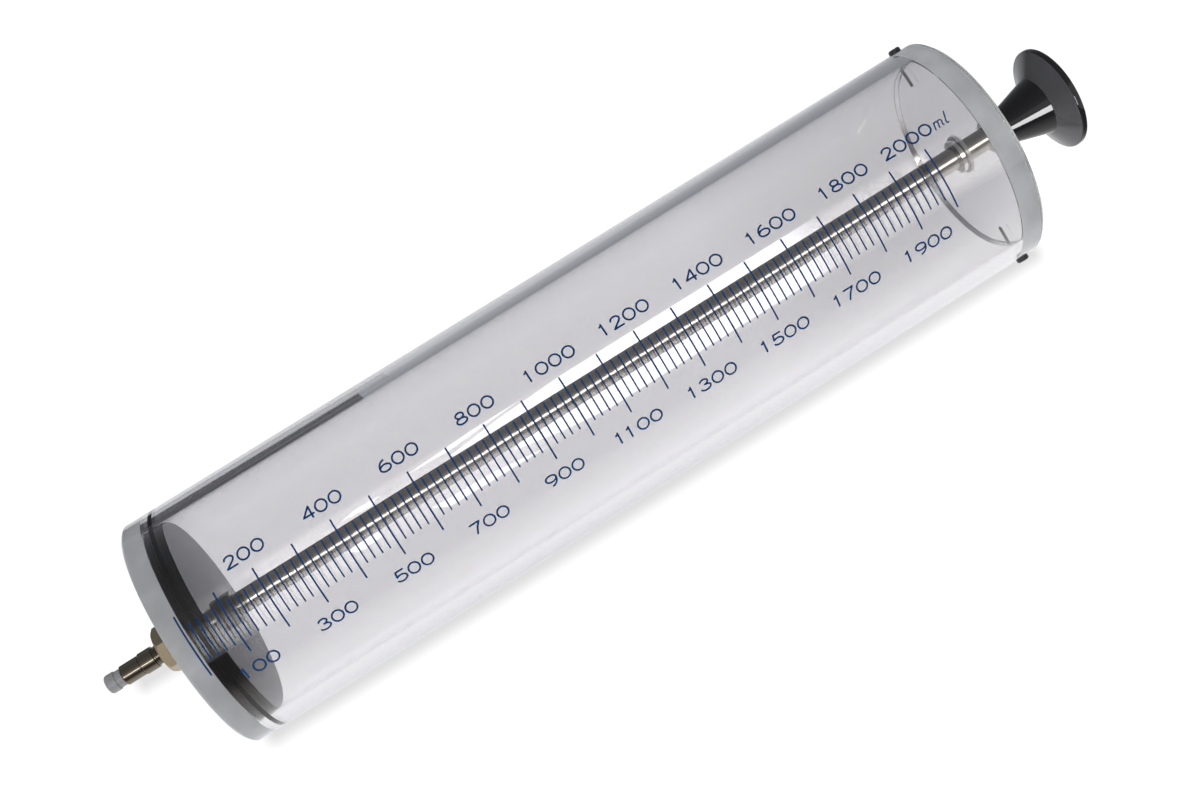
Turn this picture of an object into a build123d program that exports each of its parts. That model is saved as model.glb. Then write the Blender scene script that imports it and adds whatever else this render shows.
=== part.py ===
# Large clear gas syringe with a 2000 ml scale, standing on the flat face of its knob.
# The barrel's axis is Z, the nozzle is on top and the printed scale faces -Y.
# Stations are distances along the axis from the zero mark, counted towards the knob.
# Stations on the nozzle's side of the zero mark are negative.
import os
from math import cos, pi, radians, tan

from build123d import *

# Barrel
barrel_diameter = 100.0
barrel_wall = 6.2
barrel_chamfer = 1.2
full_volume = 2_000_000.0
rear_room = 25.2
plug_clearance = 0.05

# End plugs
front_plug_thickness = 8.0
rear_plug_thickness = 9.0
plug_chamfer = 0.5
gas_passage_radius = 1.5

# Radial screws of the rear plug
screw_radius = 1.45
screw_length = 15.5
screw_head_diameter = 5.2
screw_head_height = 1.9
screw_head_chamfer = 0.5
screw_slot_width = 0.9
screw_slot_depth = 0.9
screw_inset = 4.0
screw_hole_clearance = 0.25
screw_thread_clearance = 0.05
screw_point = 0.6

# Rod gland in the rear plug
rod_diameter = 9.5
rod_running_clearance = 0.06
gland_lip = 1.5
seal_section = 2.4
seal_room = 0.1
bushing_wall = 2.4
bushing_flange_diameter = 17.0
bushing_flange_thickness = 1.6
bushing_chamfer = 0.4

# Piston
piston_thickness = 8.5
piston_clearance = 0.6
piston_chamfer = 0.4
ring_section = 3.5
ring_running_clearance = 0.06
ring_groove_clearance = 0.3
rod_socket_depth = 6.0
rod_seat_clearance = 0.05
rod_chamfer = 0.5
rod_thread_diameter = 8.0
nut_across_flats = 12.7
nut_thickness = 5.0
nut_chamfer_angle = 30.0
nut_turn = 21.0

# Knob
rod_exposed = 12.1
knob_collar_diameter = 13.8
knob_collar_length = 0.8
knob_neck_diameter = 25.8
knob_neck_length = 20.5
knob_underside_rise = 5.3
knob_diameter = 45.6
knob_rim = 2.7
knob_edge_chamfer = 0.7
knob_throat_chamfer = 1.4
knob_mouth_chamfer = 0.4
knob_socket_depth = 20.3

# Gas fitting
gasket_thickness = 0.8
gasket_width = 3.0
adapter_across_flats = 18.0
adapter_length = 12.7
adapter_shank_radius = 5.0
adapter_shank_length = 6.0
adapter_chamfer_angle = 45.0
adapter_turn = 47.7
fitting_thread_radius = 4.0
fitting_thread_length = 7.9
fitting_neck_length = 3.4
fitting_groove_count = 3
fitting_groove_depth = 0.55
fitting_groove_width = 0.5
fitting_body_radius = 4.65
fitting_body_length = 5.8
fitting_step_width = 0.4
fitting_tip_radius = 4.25
fitting_tip_length = 8.2
fitting_chamfer = 0.6
fitting_socket_radius = 2.2
fitting_socket_depth = 7.5
thread_clearance = 0.05

# Tip cap
cap_pin_clearance = 0.08
cap_pin_length = 6.8
cap_pin_taper = 0.25
cap_neck_radius = 3.6
cap_neck_length = 2.7
cap_head_radius = 4.0
cap_head_length = 4.5
cap_chamfer = 0.9

# Room by which a cutting shape passes the solid that it cuts
cutting_margin = 1.0

# Sizes worked out from the values above
barrel_radius = barrel_diameter / 2
bore_radius = barrel_radius - barrel_wall
stroke = full_volume / (pi * bore_radius**2)
plug_radius = bore_radius - plug_clearance
rod_radius = rod_diameter / 2
rod_thread_radius = rod_thread_diameter / 2
rear_plug_inside = stroke + rear_room
rear_plug_outside = rear_plug_inside + rear_plug_thickness
barrel_front = -front_plug_thickness
screw_station = rear_plug_inside + screw_inset
gland_radius = rod_radius + rod_running_clearance
bushing_radius = gland_radius + bushing_wall
seal_station = rear_plug_inside + gland_lip + seal_room + seal_section / 2
bushing_start = seal_station + seal_section / 2 + seal_room
bushing_flange_end = rear_plug_outside + bushing_flange_thickness
knob_start = bushing_flange_end + rod_exposed
knob_cone_start = knob_start + knob_collar_length
knob_cone_end = knob_cone_start + knob_neck_length
knob_rim_start = knob_cone_end + knob_underside_rise
knob_face = knob_rim_start + knob_rim
piston_radius = bore_radius - piston_clearance
ring_outside = bore_radius - ring_running_clearance
ring_centre = ring_outside - ring_section / 2
ring_station = piston_thickness / 2
groove_radius = ring_centre - ring_section / 2 - ring_groove_clearance
groove_half_width = ring_section / 2 + ring_groove_clearance
rod_start = piston_thickness - rod_socket_depth + rod_seat_clearance
rod_end = knob_start + knob_socket_depth - rod_seat_clearance
nut_end = piston_thickness + nut_thickness
rod_shoulder = nut_end + rod_seat_clearance
adapter_start = barrel_front - gasket_thickness
adapter_end = adapter_start - adapter_length
fitting_thread_end = adapter_end + fitting_thread_length
fitting_body_start = adapter_end - fitting_neck_length
fitting_body_end = fitting_body_start - fitting_body_length
fitting_tip_start = fitting_body_end - fitting_step_width
fitting_tip_end = fitting_tip_start - fitting_tip_length
cap_neck_end = fitting_tip_end - cap_neck_length
cap_end = cap_neck_end - cap_head_length


def height(station):
    """Z of a station on the axis, above the knob's flat face."""
    return knob_face - station


def outline(*points):
    """Closed profile through (radius, station) points, in the XZ plane."""
    with BuildSketch(Plane.XZ) as profile:
        with BuildLine():
            Polyline(*[(radius, height(station)) for radius, station in points], close=True)
        make_face()
    return profile.sketch


def hexagon_rod(across_flats, start, end, turn):
    """Six-sided bar between two stations, one corner turned from +X by the given degrees."""
    with BuildSketch(Plane.XY.offset(height(start))) as section:
        RegularPolygon(across_flats / 2, 6, major_radius=False, rotation=turn)
    return extrude(section.sketch, amount=start - end, mode=Mode.PRIVATE)


def chamfer_cone(across_flats, start, end, angle):
    """Turned envelope that bevels the corners of a hexagon at the far end."""
    corner = across_flats / 2 / cos(radians(30))
    slope = tan(radians(angle))
    bevel = (corner - across_flats / 2) * slope
    towards = 1 if start > end else -1
    return outline(
        (0, start),
        (corner + cutting_margin, start),
        (corner + cutting_margin, end + towards * (bevel + cutting_margin * slope)),
        (across_flats / 2, end),
        (0, end),
    )


def squeezed_section(width):
    """Eight-sided section of a rubber ring, flat where the ring is squeezed."""
    return RegularPolygon(width / 2, 8, major_radius=False, rotation=180 / 8)


os.makedirs("parts", exist_ok=True)

# Clear barrel tube with chamfered ends and two holes for the plug's screws
with BuildPart() as barrel_tube:
    revolve(
        outline(
            (bore_radius, barrel_front),
            (barrel_radius - barrel_chamfer, barrel_front),
            (barrel_radius, barrel_front + barrel_chamfer),
            (barrel_radius, rear_plug_outside - barrel_chamfer),
            (barrel_radius - barrel_chamfer, rear_plug_outside),
            (bore_radius, rear_plug_outside),
        ),
        axis=Axis.Z,
    )
    with BuildSketch(Plane.YZ):
        with Locations((0, height(screw_station))):
            Circle(screw_radius + screw_hole_clearance)
    extrude(amount=barrel_diameter, both=True, mode=Mode.SUBTRACT)
barrel_tube.part.label = "barrel_tube"

# Front plug with a tapped socket for the gas fitting and a narrow gas passage
with BuildPart() as front_end_plug:
    revolve(
        outline((0, barrel_front), (plug_radius, barrel_front), (plug_radius, 0), (0, 0)),
        axis=Axis.Z,
    )
    chamfer(front_end_plug.edges().filter_by(GeomType.CIRCLE), plug_chamfer)
    with Locations((0, 0, height(barrel_front))):
        CounterBoreHole(gas_passage_radius, adapter_shank_radius + thread_clearance, adapter_shank_length)
front_end_plug.part.label = "front_end_plug"

# Rear plug with the rod gland and two tapped holes from its rim
with BuildPart() as rear_end_plug:
    revolve(
        outline(
            (0, rear_plug_inside),
            (plug_radius, rear_plug_inside),
            (plug_radius, rear_plug_outside),
            (0, rear_plug_outside),
        ),
        axis=Axis.Z,
    )
    chamfer(rear_end_plug.edges().filter_by(GeomType.CIRCLE), plug_chamfer)
    revolve(
        outline(
            (0, rear_plug_inside),
            (gland_radius, rear_plug_inside),
            (gland_radius, rear_plug_inside + gland_lip),
            (bushing_radius + plug_clearance, rear_plug_inside + gland_lip),
            (bushing_radius + plug_clearance, rear_plug_outside),
            (0, rear_plug_outside),
        ),
        axis=Axis.Z,
        mode=Mode.SUBTRACT,
    )
    tapped_depth = screw_length - (barrel_radius - plug_radius) + screw_point
    for side in (1, -1):
        with BuildSketch(Plane.YZ.offset(side * plug_radius)):
            with Locations((0, height(screw_station))):
                Circle(screw_radius + screw_thread_clearance)
        extrude(amount=-side * tapped_depth, mode=Mode.SUBTRACT)
rear_end_plug.part.label = "rear_end_plug"

# Two slotted round-head screws that pin the rear plug, heads on the tube at +X and -X
with BuildPart() as plug_screws:
    for side, slot_turn in ((1, 0), (-1, 90)):
        seat = Plane(
            origin=(side * barrel_radius, 0, height(screw_station)),
            x_dir=(0, 1, 0),
            z_dir=(side, 0, 0),
        )
        with BuildSketch(seat):
            Circle(screw_head_diameter / 2)
        head = extrude(amount=screw_head_height)
        crown = head.edges().filter_by(GeomType.CIRCLE).sort_by(lambda edge: abs(edge.center().X))
        chamfer(crown[-1], screw_head_chamfer)
        with BuildSketch(seat):
            Circle(screw_radius)
        extrude(amount=-(screw_length - screw_point))
        with BuildSketch(seat.offset(-(screw_length - screw_point))):
            Circle(screw_radius)
        extrude(amount=-screw_point, taper=45)
        with BuildSketch(seat.offset(screw_head_height)):
            Rectangle(2 * screw_head_diameter, screw_slot_width, rotation=slot_turn)
        extrude(amount=-screw_slot_depth, mode=Mode.SUBTRACT)
plug_screws.part.label = "plug_screws"

# Rubber ring that seals the rod at the bottom of the gland
with BuildPart() as rod_seal:
    with BuildSketch(Plane.XZ):
        with Locations((gland_radius + seal_section / 2, height(seal_station))):
            squeezed_section(seal_section)
    revolve(axis=Axis.Z)
rod_seal.part.label = "rod_seal"

# Flanged bushing that holds the seal down and guides the rod
with BuildPart() as rod_bushing:
    revolve(
        outline(
            (gland_radius, bushing_start),
            (bushing_radius, bushing_start),
            (bushing_radius, rear_plug_outside),
            (bushing_flange_diameter / 2, rear_plug_outside),
            (bushing_flange_diameter / 2, bushing_flange_end),
            (gland_radius, bushing_flange_end),
        ),
        axis=Axis.Z,
    )
    outer_edges = rod_bushing.edges().filter_by(GeomType.CIRCLE).sort_by(Axis.Z)
    chamfer(outer_edges[:2].sort_by(lambda edge: edge.radius)[-1], bushing_chamfer)
rod_bushing.part.label = "rod_bushing"

# Piston disc with its ring groove and a blind threaded socket for the rod
with BuildPart() as piston:
    revolve(
        outline(
            (0, 0),
            (piston_radius - piston_chamfer, 0),
            (piston_radius, piston_chamfer),
            (piston_radius, ring_station - groove_half_width),
            (groove_radius, ring_station - groove_half_width),
            (groove_radius, ring_station + groove_half_width),
            (piston_radius, ring_station + groove_half_width),
            (piston_radius, piston_thickness - piston_chamfer),
            (piston_radius - piston_chamfer, piston_thickness),
            (0, piston_thickness),
        ),
        axis=Axis.Z,
    )
    with BuildSketch(Plane.XY.offset(height(piston_thickness))):
        Circle(rod_thread_radius + rod_seat_clearance)
    extrude(amount=rod_socket_depth, mode=Mode.SUBTRACT)
piston.part.label = "piston"

# Ring seal of the piston
with BuildPart() as piston_ring:
    with BuildSketch(Plane.XZ):
        with Locations((ring_centre, height(ring_station))):
            squeezed_section(ring_section)
    revolve(axis=Axis.Z)
piston_ring.part.label = "piston_ring"

# Polished steel rod with a thinner threaded end for the nut and the piston's socket
with BuildPart() as plunger_rod:
    revolve(
        outline(
            (0, rod_start),
            (rod_thread_radius - rod_chamfer, rod_start),
            (rod_thread_radius, rod_start + rod_chamfer),
            (rod_thread_radius, rod_shoulder),
            (rod_radius, rod_shoulder),
            (rod_radius, rod_end - rod_chamfer),
            (rod_radius - rod_chamfer, rod_end),
            (0, rod_end),
        ),
        axis=Axis.Z,
    )
plunger_rod.part.label = "plunger_rod"

# Jam nut that locks the rod against the piston
with BuildPart() as rod_nut:
    add(hexagon_rod(nut_across_flats, nut_end, piston_thickness, nut_turn))
    revolve(
        chamfer_cone(nut_across_flats, piston_thickness, nut_end, nut_chamfer_angle),
        axis=Axis.Z,
        mode=Mode.INTERSECT,
    )
    with BuildSketch(Plane.XY.offset(height(nut_end))):
        Circle(rod_thread_radius + rod_seat_clearance)
    extrude(amount=nut_thickness, mode=Mode.SUBTRACT)
rod_nut.part.label = "rod_nut"

# Turned knob: short collar, flared neck, shallow underside and a thin rim
with BuildPart() as knob:
    revolve(
        outline(
            (rod_radius + rod_seat_clearance, knob_start),
            (knob_collar_diameter / 2 - knob_mouth_chamfer, knob_start),
            (knob_collar_diameter / 2, knob_start + knob_mouth_chamfer),
            (knob_collar_diameter / 2, knob_cone_start),
            (knob_neck_diameter / 2, knob_cone_end),
            (knob_diameter / 2, knob_rim_start),
            (knob_diameter / 2, knob_face),
            (0, knob_face),
            (0, knob_start + knob_socket_depth),
            (rod_radius + rod_seat_clearance, knob_start + knob_socket_depth),
        ),
        axis=Axis.Z,
    )
    rings = knob.edges().filter_by(GeomType.CIRCLE)
    throat = rings.filter_by(lambda edge: abs(edge.radius - knob_neck_diameter / 2) < 0.01)
    chamfer(throat, knob_throat_chamfer)
    rings = knob.edges().filter_by(GeomType.CIRCLE)
    chamfer(rings.filter_by(lambda edge: abs(edge.radius - knob_diameter / 2) < 0.01), knob_edge_chamfer)
knob.part.label = "knob"

# Flat gasket under the gas fitting
with BuildPart() as nozzle_gasket:
    with BuildSketch(Plane.XY.offset(height(barrel_front))):
        Circle(adapter_shank_radius + thread_clearance + gasket_width)
        Circle(adapter_shank_radius + thread_clearance, mode=Mode.SUBTRACT)
    extrude(amount=gasket_thickness)
nozzle_gasket.part.label = "nozzle_gasket"

# Hexagonal adapter screwed into the front plug
with BuildPart() as hex_adapter:
    add(hexagon_rod(adapter_across_flats, adapter_start, adapter_end, adapter_turn))
    revolve(
        chamfer_cone(adapter_across_flats, adapter_start, adapter_end, adapter_chamfer_angle),
        axis=Axis.Z,
        mode=Mode.INTERSECT,
    )
    with BuildSketch(Plane.XY.offset(height(adapter_start))):
        Circle(adapter_shank_radius)
    extrude(amount=-(adapter_shank_length - thread_clearance + gasket_thickness))
    with Locations((0, 0, height(adapter_end))):
        CounterBoreHole(
            gas_passage_radius,
            fitting_thread_radius + thread_clearance,
            fitting_thread_length + thread_clearance,
        )
hex_adapter.part.label = "hex_adapter"

# Turned fitting: grooved neck, stepped body and a socket for the tip cap
with BuildPart() as luer_fitting:
    revolve(
        outline(
            (gas_passage_radius, fitting_thread_end),
            (fitting_thread_radius, fitting_thread_end),
            (fitting_thread_radius, fitting_body_start),
            (fitting_body_radius, fitting_body_start),
            (fitting_body_radius, fitting_body_end),
            (fitting_thread_radius, fitting_body_end),
            (fitting_thread_radius, fitting_tip_start),
            (fitting_tip_radius, fitting_tip_start),
            (fitting_tip_radius, fitting_tip_end),
            (fitting_socket_radius, fitting_tip_end),
            (fitting_socket_radius, fitting_tip_end + fitting_socket_depth),
            (gas_passage_radius, fitting_tip_end + fitting_socket_depth),
        ),
        axis=Axis.Z,
    )
    rings = luer_fitting.edges().filter_by(GeomType.CIRCLE).sort_by(Axis.Z)
    chamfer(rings[-1:] if rings[-1].radius > rings[-2].radius else rings[-2:-1], fitting_chamfer)
    groove_pitch = fitting_neck_length / (fitting_groove_count + 1)
    for number in range(fitting_groove_count):
        groove_middle = adapter_end - groove_pitch * (number + 1)
        with BuildSketch(Plane.XY.offset(height(groove_middle))):
            Circle(fitting_thread_radius + cutting_margin)
            Circle(fitting_thread_radius - fitting_groove_depth, mode=Mode.SUBTRACT)
        extrude(amount=fitting_groove_width / 2, both=True, mode=Mode.SUBTRACT)
luer_fitting.part.label = "luer_fitting"

# Soft cap with a tapered pin that plugs the fitting
with BuildPart() as tip_cap:
    pin_radius = fitting_socket_radius - cap_pin_clearance
    revolve(
        outline(
            (0, fitting_tip_end + cap_pin_length),
            (pin_radius - cap_pin_taper, fitting_tip_end + cap_pin_length),
            (pin_radius, fitting_tip_end),
            (cap_neck_radius, fitting_tip_end),
            (cap_neck_radius, cap_neck_end),
            (cap_head_radius, cap_neck_end),
            (cap_head_radius, cap_end),
            (0, cap_end),
        ),
        axis=Axis.Z,
    )
    chamfer(tip_cap.edges().filter_by(GeomType.CIRCLE).sort_by(Axis.Z)[-1], cap_chamfer)
tip_cap.part.label = "tip_cap"

print("knob face to zero mark", round(knob_face, 3), "stroke", round(stroke, 3))
print("bore radius", round(bore_radius, 3), "total length", round(knob_face - cap_end, 3))

export_step(barrel_tube.part, "parts/barrel_tube.step")
export_step(front_end_plug.part, "parts/front_end_plug.step")
export_step(rear_end_plug.part, "parts/rear_end_plug.step")
export_step(plug_screws.part, "parts/plug_screws.step")
export_step(rod_seal.part, "parts/rod_seal.step")
export_step(rod_bushing.part, "parts/rod_bushing.step")
export_step(piston.part, "parts/piston.step")
export_step(piston_ring.part, "parts/piston_ring.step")
export_step(plunger_rod.part, "parts/plunger_rod.step")
export_step(rod_nut.part, "parts/rod_nut.step")
export_step(knob.part, "parts/knob.step")
export_step(nozzle_gasket.part, "parts/nozzle_gasket.step")
export_step(hex_adapter.part, "parts/hex_adapter.step")
export_step(luer_fitting.part, "parts/luer_fitting.step")
export_step(tip_cap.part, "parts/tip_cap.step")
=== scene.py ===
# %% [markdown]
# # A large clear gas syringe
#
# This notebook dresses a measured model of a two-litre gas syringe. The measured model, the
# frame, holds every piece at its real size. Here each piece gets the look that it has in
# daylight: clear acrylic, black turned plastic, steel, nickel and blue ink.
#
# The syringe stands on its knob. The axis of the barrel is Z, the nozzle is on top, and the
# printed scale faces -Y.

# %% Load the frame
from math import acos, cos, pi, radians, sin, tan

import bmesh
import bpy
from mathutils import Matrix, Vector


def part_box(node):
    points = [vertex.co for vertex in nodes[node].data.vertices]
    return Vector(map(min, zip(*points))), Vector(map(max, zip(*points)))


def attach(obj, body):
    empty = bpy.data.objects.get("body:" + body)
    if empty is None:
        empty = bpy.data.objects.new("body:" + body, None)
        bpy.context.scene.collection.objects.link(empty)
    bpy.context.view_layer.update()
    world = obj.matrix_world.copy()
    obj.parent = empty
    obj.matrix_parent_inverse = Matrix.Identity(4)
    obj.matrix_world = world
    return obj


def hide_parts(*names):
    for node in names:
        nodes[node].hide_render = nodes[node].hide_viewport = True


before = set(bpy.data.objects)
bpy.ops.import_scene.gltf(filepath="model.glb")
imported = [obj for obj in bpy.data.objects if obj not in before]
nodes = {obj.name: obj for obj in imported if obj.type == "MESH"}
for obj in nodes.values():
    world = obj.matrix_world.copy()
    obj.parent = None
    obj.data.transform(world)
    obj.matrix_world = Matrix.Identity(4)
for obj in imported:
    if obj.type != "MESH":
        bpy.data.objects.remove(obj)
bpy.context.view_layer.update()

# %% [markdown]
# ## Measures
#
# Every place along the axis is read from the frame, so that a longer barrel would carry the
# looks with it. A station is a distance from the zero mark towards the knob, because that is
# how the scale itself is read. The zero mark is where the piston's front face stands when the
# syringe is empty.

# %% Measures read from the frame
MM = 0.001
barrel_low, barrel_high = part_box("barrel_tube")
barrel_radius = (barrel_high.y - barrel_low.y) / 2
barrel_wall = 6.2 * MM
bore_radius = barrel_radius - barrel_wall
zero_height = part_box("piston")[1].z
full_scale = 2000
stroke = full_scale * 1000 / (pi * (bore_radius / MM) ** 2) * MM


def height(station):
    """Z of a station on the scale, in metres above the bench."""
    return zero_height - station


def span(node):
    """Lowest and highest Z of a CAD node."""
    low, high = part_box(node)
    return low.z, high.z


print("zero mark at", round(zero_height, 4), "scale length", round(stroke, 4))

# %% [markdown]
# ## Camera
#
# The picture that this model follows looks square at the barrel from a little over half a
# metre, from in front of the scale, with the camera rolled so that the barrel runs from the
# lower left to the upper right. The three turns below are applied in the order in which a
# photographer would make them: swing, dip, then roll about the line of sight.

# %% Camera
camera_distance = 614.1 * MM
camera_height = zero_height - 125.88 * MM
camera_lens = 45.34
camera_swing = radians(0.68)
camera_dip = radians(4.94)
camera_roll = radians(-122.03)

camera_data = bpy.data.cameras.new("camera")
camera_data.lens = camera_lens
camera_data.sensor_width = 36.0
camera_data.clip_start = 0.01
camera = bpy.data.objects.new("camera", camera_data)
turn = (
    Matrix.Rotation(camera_swing, 4, "Z")
    @ Matrix.Rotation(pi / 2 - camera_dip, 4, "X")
    @ Matrix.Rotation(camera_roll, 4, "Z")
)
camera.matrix_world = Matrix.Translation((0, -camera_distance, camera_height)) @ turn
bpy.context.scene.collection.objects.link(camera)
bpy.context.scene.camera = camera
print("camera height", round(camera_height, 4))

# %% [markdown]
# ## Small helpers for node trees
#
# A finish, a light and a printed scale are all trees of nodes. A tree is easier to read when
# each node is one line that says what goes in, so these helpers make a node and fill or link
# its inputs. An input gets a link when it is given another node's socket, and a plain value
# otherwise.

# %% Helper for one node
def add_node(tree, kind, inputs=None, **settings):
    """A node with its settings and its inputs, each by name or by number."""
    node = tree.nodes.new(kind)
    for name, value in settings.items():
        setattr(node, name, value)
    for name, value in (inputs or {}).items():
        if isinstance(value, bpy.types.NodeSocket):
            tree.links.new(value, node.inputs[name])
        else:
            node.inputs[name].default_value = value
    return node


def read(tree, kind, output):
    """One output of a node that has nothing to set, such as a place or a light path."""
    return add_node(tree, kind).outputs[output]


print("node trees for", bpy.app.version_string)

# %% Helpers for sums and colours
def maths(tree, operation, *values):
    """The result of one sum on numbers."""
    return add_node(tree, "ShaderNodeMath", dict(enumerate(values)), operation=operation).outputs[0]


def vectors(tree, operation, *values):
    """The result of one sum on vectors, which is a number for a length."""
    node = add_node(tree, "ShaderNodeVectorMath", dict(enumerate(values)), operation=operation)
    return node.outputs["Value" if operation == "LENGTH" else "Vector"]


def remap(tree, value, start, end, low, high, **settings):
    """A value between start and end, stretched to lie between low and high."""
    inputs = {"Value": value, "From Min": start, "From Max": end, "To Min": low, "To Max": high}
    return add_node(tree, "ShaderNodeMapRange", inputs, **settings).outputs[0]


def shades(tree, value, stops):
    """A colour that runs through stops, each a share from 0 to 1 and a colour."""
    ramp = add_node(tree, "ShaderNodeValToRGB", {"Fac": value})
    elements = ramp.color_ramp.elements
    for number, (place, colour) in enumerate(stops):
        stop = elements[number] if number < 2 else elements.new(place)
        stop.position = place
        stop.color = (*colour, 1)
    return ramp.outputs["Color"]


print("helpers for numbers, vectors, ranges and colours are ready")

# %% [markdown]
# ## Floor, backdrop and light
#
# Clear plastic has hardly any look of its own: it shows what is round it. Straight through the
# barrel the picture shows bright paper. In the mirror of a steel rod or of a glossy black disc
# the same room looks much darker, because most of the room round the table was not lit. So the
# stage has two kinds of light. What is seen directly, or through the plastic, is white paper.
# What is seen in a reflection is a panorama of the room, which depends only on the direction
# round the barrel: a warm narrow lamp beside the camera, a dim room on the right, and a bright
# window on the left. Turns round the barrel are counted from the camera's side towards +X, in
# degrees.
#
# Two details follow the picture. The paper glows more in one range of turns behind the barrel,
# for the bright streak in the barrel's wall. And a reflection that has not passed through
# plastic first is limited, because no streak of the lamp is seen on the outer surface.

# %% The room in reflections
ROOM = [
    (-180, (0.86, 0.87, 0.90)),
    (-155, (1.02, 1.02, 1.05)),
    (-135, (1.12, 1.12, 1.14)),
    (-92, (1.10, 1.08, 1.06)),
    (-74, (0.75, 0.72, 0.68)),
    (-60, (0.18, 0.17, 0.16)),
    (-31, (0.16, 0.15, 0.14)),
    (-27, (3.40, 3.25, 2.95)),
    (-21, (6.60, 6.35, 5.90)),
    (-8, (6.60, 6.35, 5.90)),
    (-2, (1.50, 1.40, 1.25)),
    (4, (0.50, 0.48, 0.45)),
    (24, (0.33, 0.33, 0.33)),
    (60, (0.24, 0.24, 0.25)),
    (130, (0.34, 0.35, 0.38)),
    (142, (0.42, 0.43, 0.46)),
    (147, (0.52, 0.53, 0.56)),
    (151, (0.72, 0.73, 0.76)),
    (158, (0.80, 0.81, 0.84)),
    (180, (0.86, 0.87, 0.90)),
]
PAPER = [(-180, 1.0), (-173, 1.03), (-158, 1.36), (-140, 1.36), (-120, 1.0), (180, 1.0)]
room_brightest, paper_brightest, outer_limit = 7.0, 1.4, 1.1


def turn_round(tree, direction):
    """The turn round the barrel of a direction, as a share of a full turn from the back."""
    split = add_node(tree, "ShaderNodeSeparateXYZ", {0: direction})
    ahead = maths(tree, "MULTIPLY", split.outputs["Y"], -1.0)
    angle = maths(tree, "ARCTAN2", split.outputs["X"], ahead)
    return remap(tree, angle, -pi, pi, 0.0, 1.0)


def panorama(tree, share, stops, scale):
    """The colour of a list of turns and colours at a share of a full turn, divided by a scale."""
    shares = [((turn + 180) / 360, [part / scale for part in colour]) for turn, colour in stops]
    return shades(tree, share, shares)


def paper_or_room(tree, direction, paper_strength, paper_colour=(1, 1, 1)):
    """Colour and strength of a light: paper when seen directly, the room when reflected."""
    share = turn_round(tree, direction)
    path = add_node(tree, "ShaderNodeLightPath")
    inside = path.outputs["Transmission Depth"]
    limit = remap(tree, inside, 0.0, 1.0, outer_limit / room_brightest, 1.0)
    room = vectors(tree, "MINIMUM", panorama(tree, share, ROOM, room_brightest), limit)
    glow = panorama(tree, share, [(turn, (part,) * 3) for turn, part in PAPER], paper_brightest)
    white = vectors(tree, "MULTIPLY", glow, [part * paper_brightest for part in paper_colour])
    bounced = maths(tree, "GREATER_THAN", path.outputs["Glossy Depth"], 0.5)
    colour = add_node(tree, "ShaderNodeMix", {0: bounced, 6: white, 7: room}, data_type="RGBA")
    strength = remap(tree, bounced, 0.0, 1.0, paper_strength, room_brightest)
    return colour.outputs[2], strength


print("room stops", len(ROOM), "paper stops", len(PAPER))

# %% [markdown]
# The floor and the backdrop are two plain cards, far larger than the picture. A real studio
# would light white paper with lamps, which needs many more rays here before it is free of
# grain, so the paper glows by itself. It glows a little less beside the syringe: that is painted
# shade, a soft shadow round the syringe's foot that also greys the paper seen through the barrel.

# %% Floor and backdrop
def new_material(name):
    """An empty node material and its tree."""
    material = bpy.data.materials.new(name)
    material.use_nodes = True
    material.node_tree.nodes.clear()
    return material, material.node_tree


def show(tree, shader):
    """Ends a material's tree: the shader is what the surface shows."""
    add_node(tree, "ShaderNodeOutputMaterial", {"Surface": shader})


def stage_sheet(name, corners, material):
    """A flat card that belongs to the studio, not to the syringe."""
    mesh = bpy.data.meshes.new(name)
    mesh.from_pydata(corners, [], [tuple(range(len(corners)))])
    mesh.materials.append(material)
    card = bpy.data.objects.new(name, mesh)
    bpy.context.scene.collection.objects.link(card)
    return card


# Painted shade: near the syringe the paper glows only at paper_light_near.
paper_light, paper_light_near = 1.3, 1.04
near_paper, far_paper = 0.15, 0.9


def white_paper():
    """Paper that glows by itself, with painted shade that dims it beside the syringe."""
    material, tree = new_material("white_paper")
    place = read(tree, "ShaderNodeTexCoord", "Object")
    distance = vectors(tree, "LENGTH", place)
    light = remap(tree, distance, near_paper, far_paper, paper_light_near, paper_light)
    colour, strength = paper_or_room(tree, place, light)
    show(tree, add_node(tree, "ShaderNodeEmission", {"Color": colour, "Strength": strength}).outputs[0])
    return material


paper = white_paper()
reach, wall_distance, wall_height = 8.0, 2.5, 6.0
floor_corners = [(-reach, -reach, 0), (reach, -reach, 0)]
floor_corners += [(reach, wall_distance, 0), (-reach, wall_distance, 0)]
wall_corners = [(-reach, wall_distance, 0), (reach, wall_distance, 0)]
wall_corners += [(reach, wall_distance, wall_height), (-reach, wall_distance, wall_height)]
stage_sheet("floor", floor_corners, paper)
stage_sheet("backdrop", wall_corners, paper)
print("floor and backdrop", 2 * reach, "m wide")

# %% [markdown]
# The middle of the barrel shows a brighter window of light on the paper behind it, which the
# barrel's own curve gathers there. It ends in tapering tongues towards the nozzle. Here it is a
# set of bright cards behind the barrel, cut so that they fill the wanted places as seen from
# the camera. Each corner below is a station and an arc round the front of the barrel, in
# millimetres. The cards are seen from the front only and never in a reflection, and outside the
# barrel they melt into the white of the paper.

# %% Bright window behind the rod
def either(tree, share, first, second):
    """A mix of two shaders: the first where the share is 0, the second where it is 1."""
    return add_node(tree, "ShaderNodeMixShader", {"Fac": share, 1: first, 2: second}).outputs[0]


def through(station, arc, card_distance):
    """Where the line from the camera through a point on the barrel's front meets a far plane."""
    eye = camera.matrix_world.translation
    spot = Vector((arc, -barrel_radius, height(station)))
    share = (card_distance - eye.y) / (spot.y - eye.y)
    return eye.lerp(spot, share)


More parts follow.
